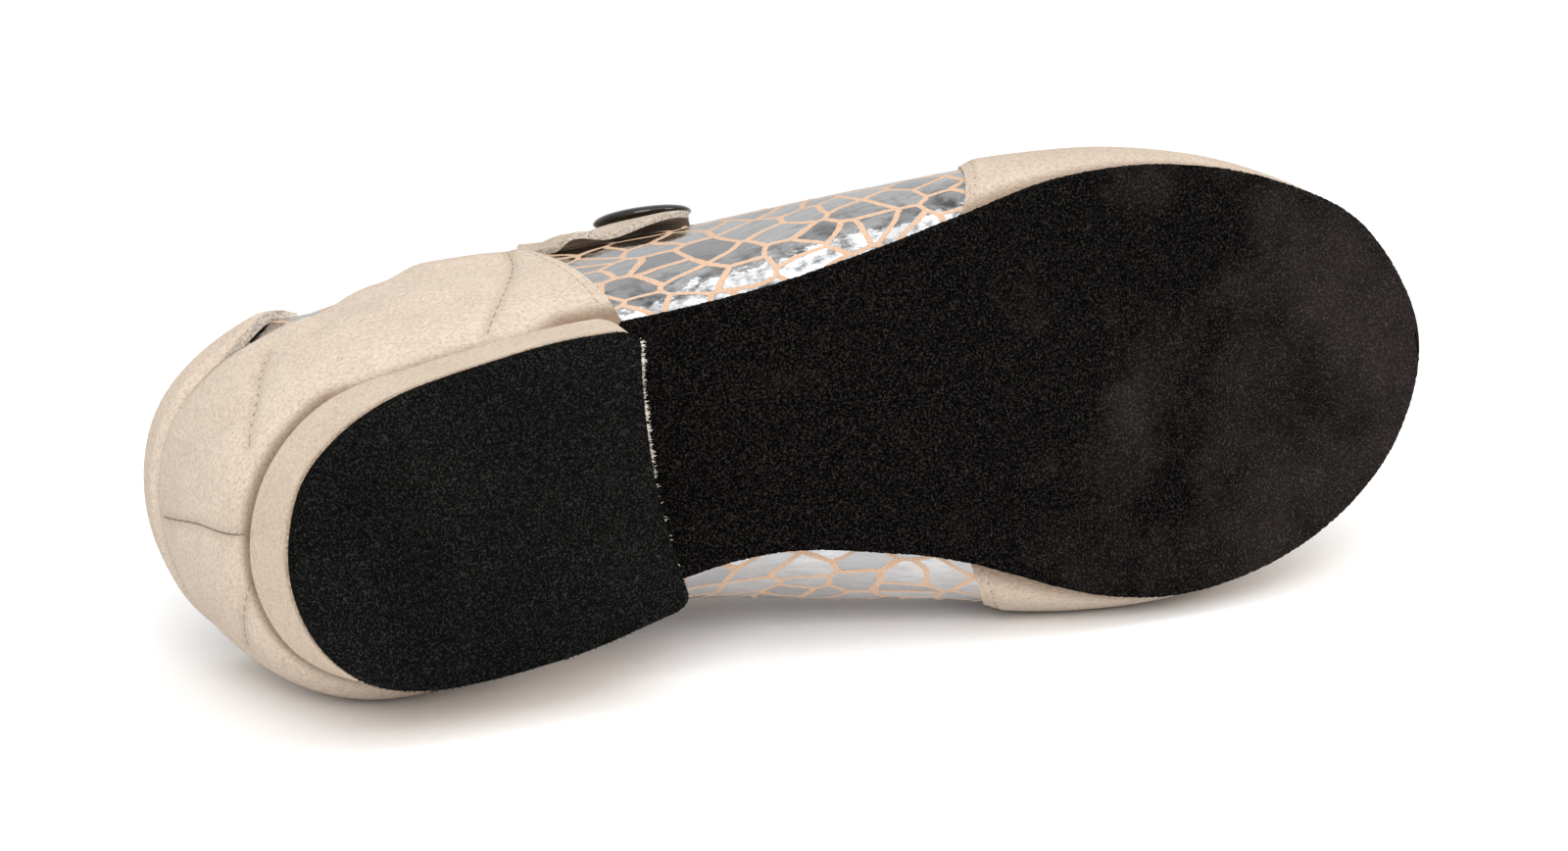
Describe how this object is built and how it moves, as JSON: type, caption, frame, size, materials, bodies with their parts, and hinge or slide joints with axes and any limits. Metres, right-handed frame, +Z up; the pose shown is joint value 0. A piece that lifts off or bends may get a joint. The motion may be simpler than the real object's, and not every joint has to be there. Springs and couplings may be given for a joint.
{
  "type": "dance shoe",
  "caption": "Low-heeled dance shoe with a crackled silver upper, sand suede counter, toe cap and heel, black suede sole, and a strap with a metal button. It lies on its side.",
  "frame": {"origin": "on the floor, under the middle of the bounding box", "axes": "+X runs from the heel to the toe, +Z is up from the floor it lies on, and the sole faces -Y"},
  "size_m": [0.2516, 0.0936, 0.0898],
  "materials": {
    "silver_crackle_leather": "silver foil, crackled, glossy",
    "sand_suede": "soft brushed suede, matt",
    "heel_suede": "soft brushed suede, matt",
    "black_sole_suede": "black chrome suede, matt",
    "black_lift_suede": "black chrome suede, matt",
    "toe_cap_suede": "soft brushed suede, matt",
    "heel_tab_suede": "soft brushed suede, matt",
    "strap_suede": "soft brushed suede, matt",
    "black_nickel": "black nickel, polished",
    "insole_leather": "smooth lining leather"
  },
  "bodies": {
    "root": {"upper": "silver_crackle_leather", "outsole": "black_sole_suede", "heel_block": "heel_suede", "heel_lift": "black_lift_suede", "insole": "insole_leather", "counter": "sand_suede", "toe_cap": "toe_cap_suede", "heel_tab": "heel_tab_suede", "strap": "strap_suede", "button": "black_nickel"}
  },
  "joints": []
}
